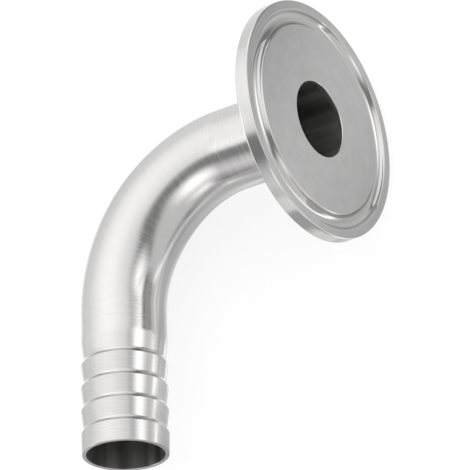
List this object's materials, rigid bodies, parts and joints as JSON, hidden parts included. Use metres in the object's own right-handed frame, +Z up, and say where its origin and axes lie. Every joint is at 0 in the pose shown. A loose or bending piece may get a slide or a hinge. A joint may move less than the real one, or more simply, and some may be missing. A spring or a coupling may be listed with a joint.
{
  "type": "barbed elbow fitting",
  "caption": "Right-angle hose elbow in polished steel, with a flat clamp ferrule at one end and a hose barb at the other.",
  "frame": {"origin": "on the surface it lies on, below the middle of its bounding box", "axes": "+Z up; it lies on its side on the rim's back edge and the outside of the bend, the ferrule's axis above +X and the barb towards -Y"},
  "size_m": [0.071, 0.0858, 0.0474],
  "materials": {
    "polished_steel": "fine polished, satin in the turned faces"
  },
  "bodies": {
    "root": {"barbed_elbow": "polished_steel"}
  },
  "joints": []
}
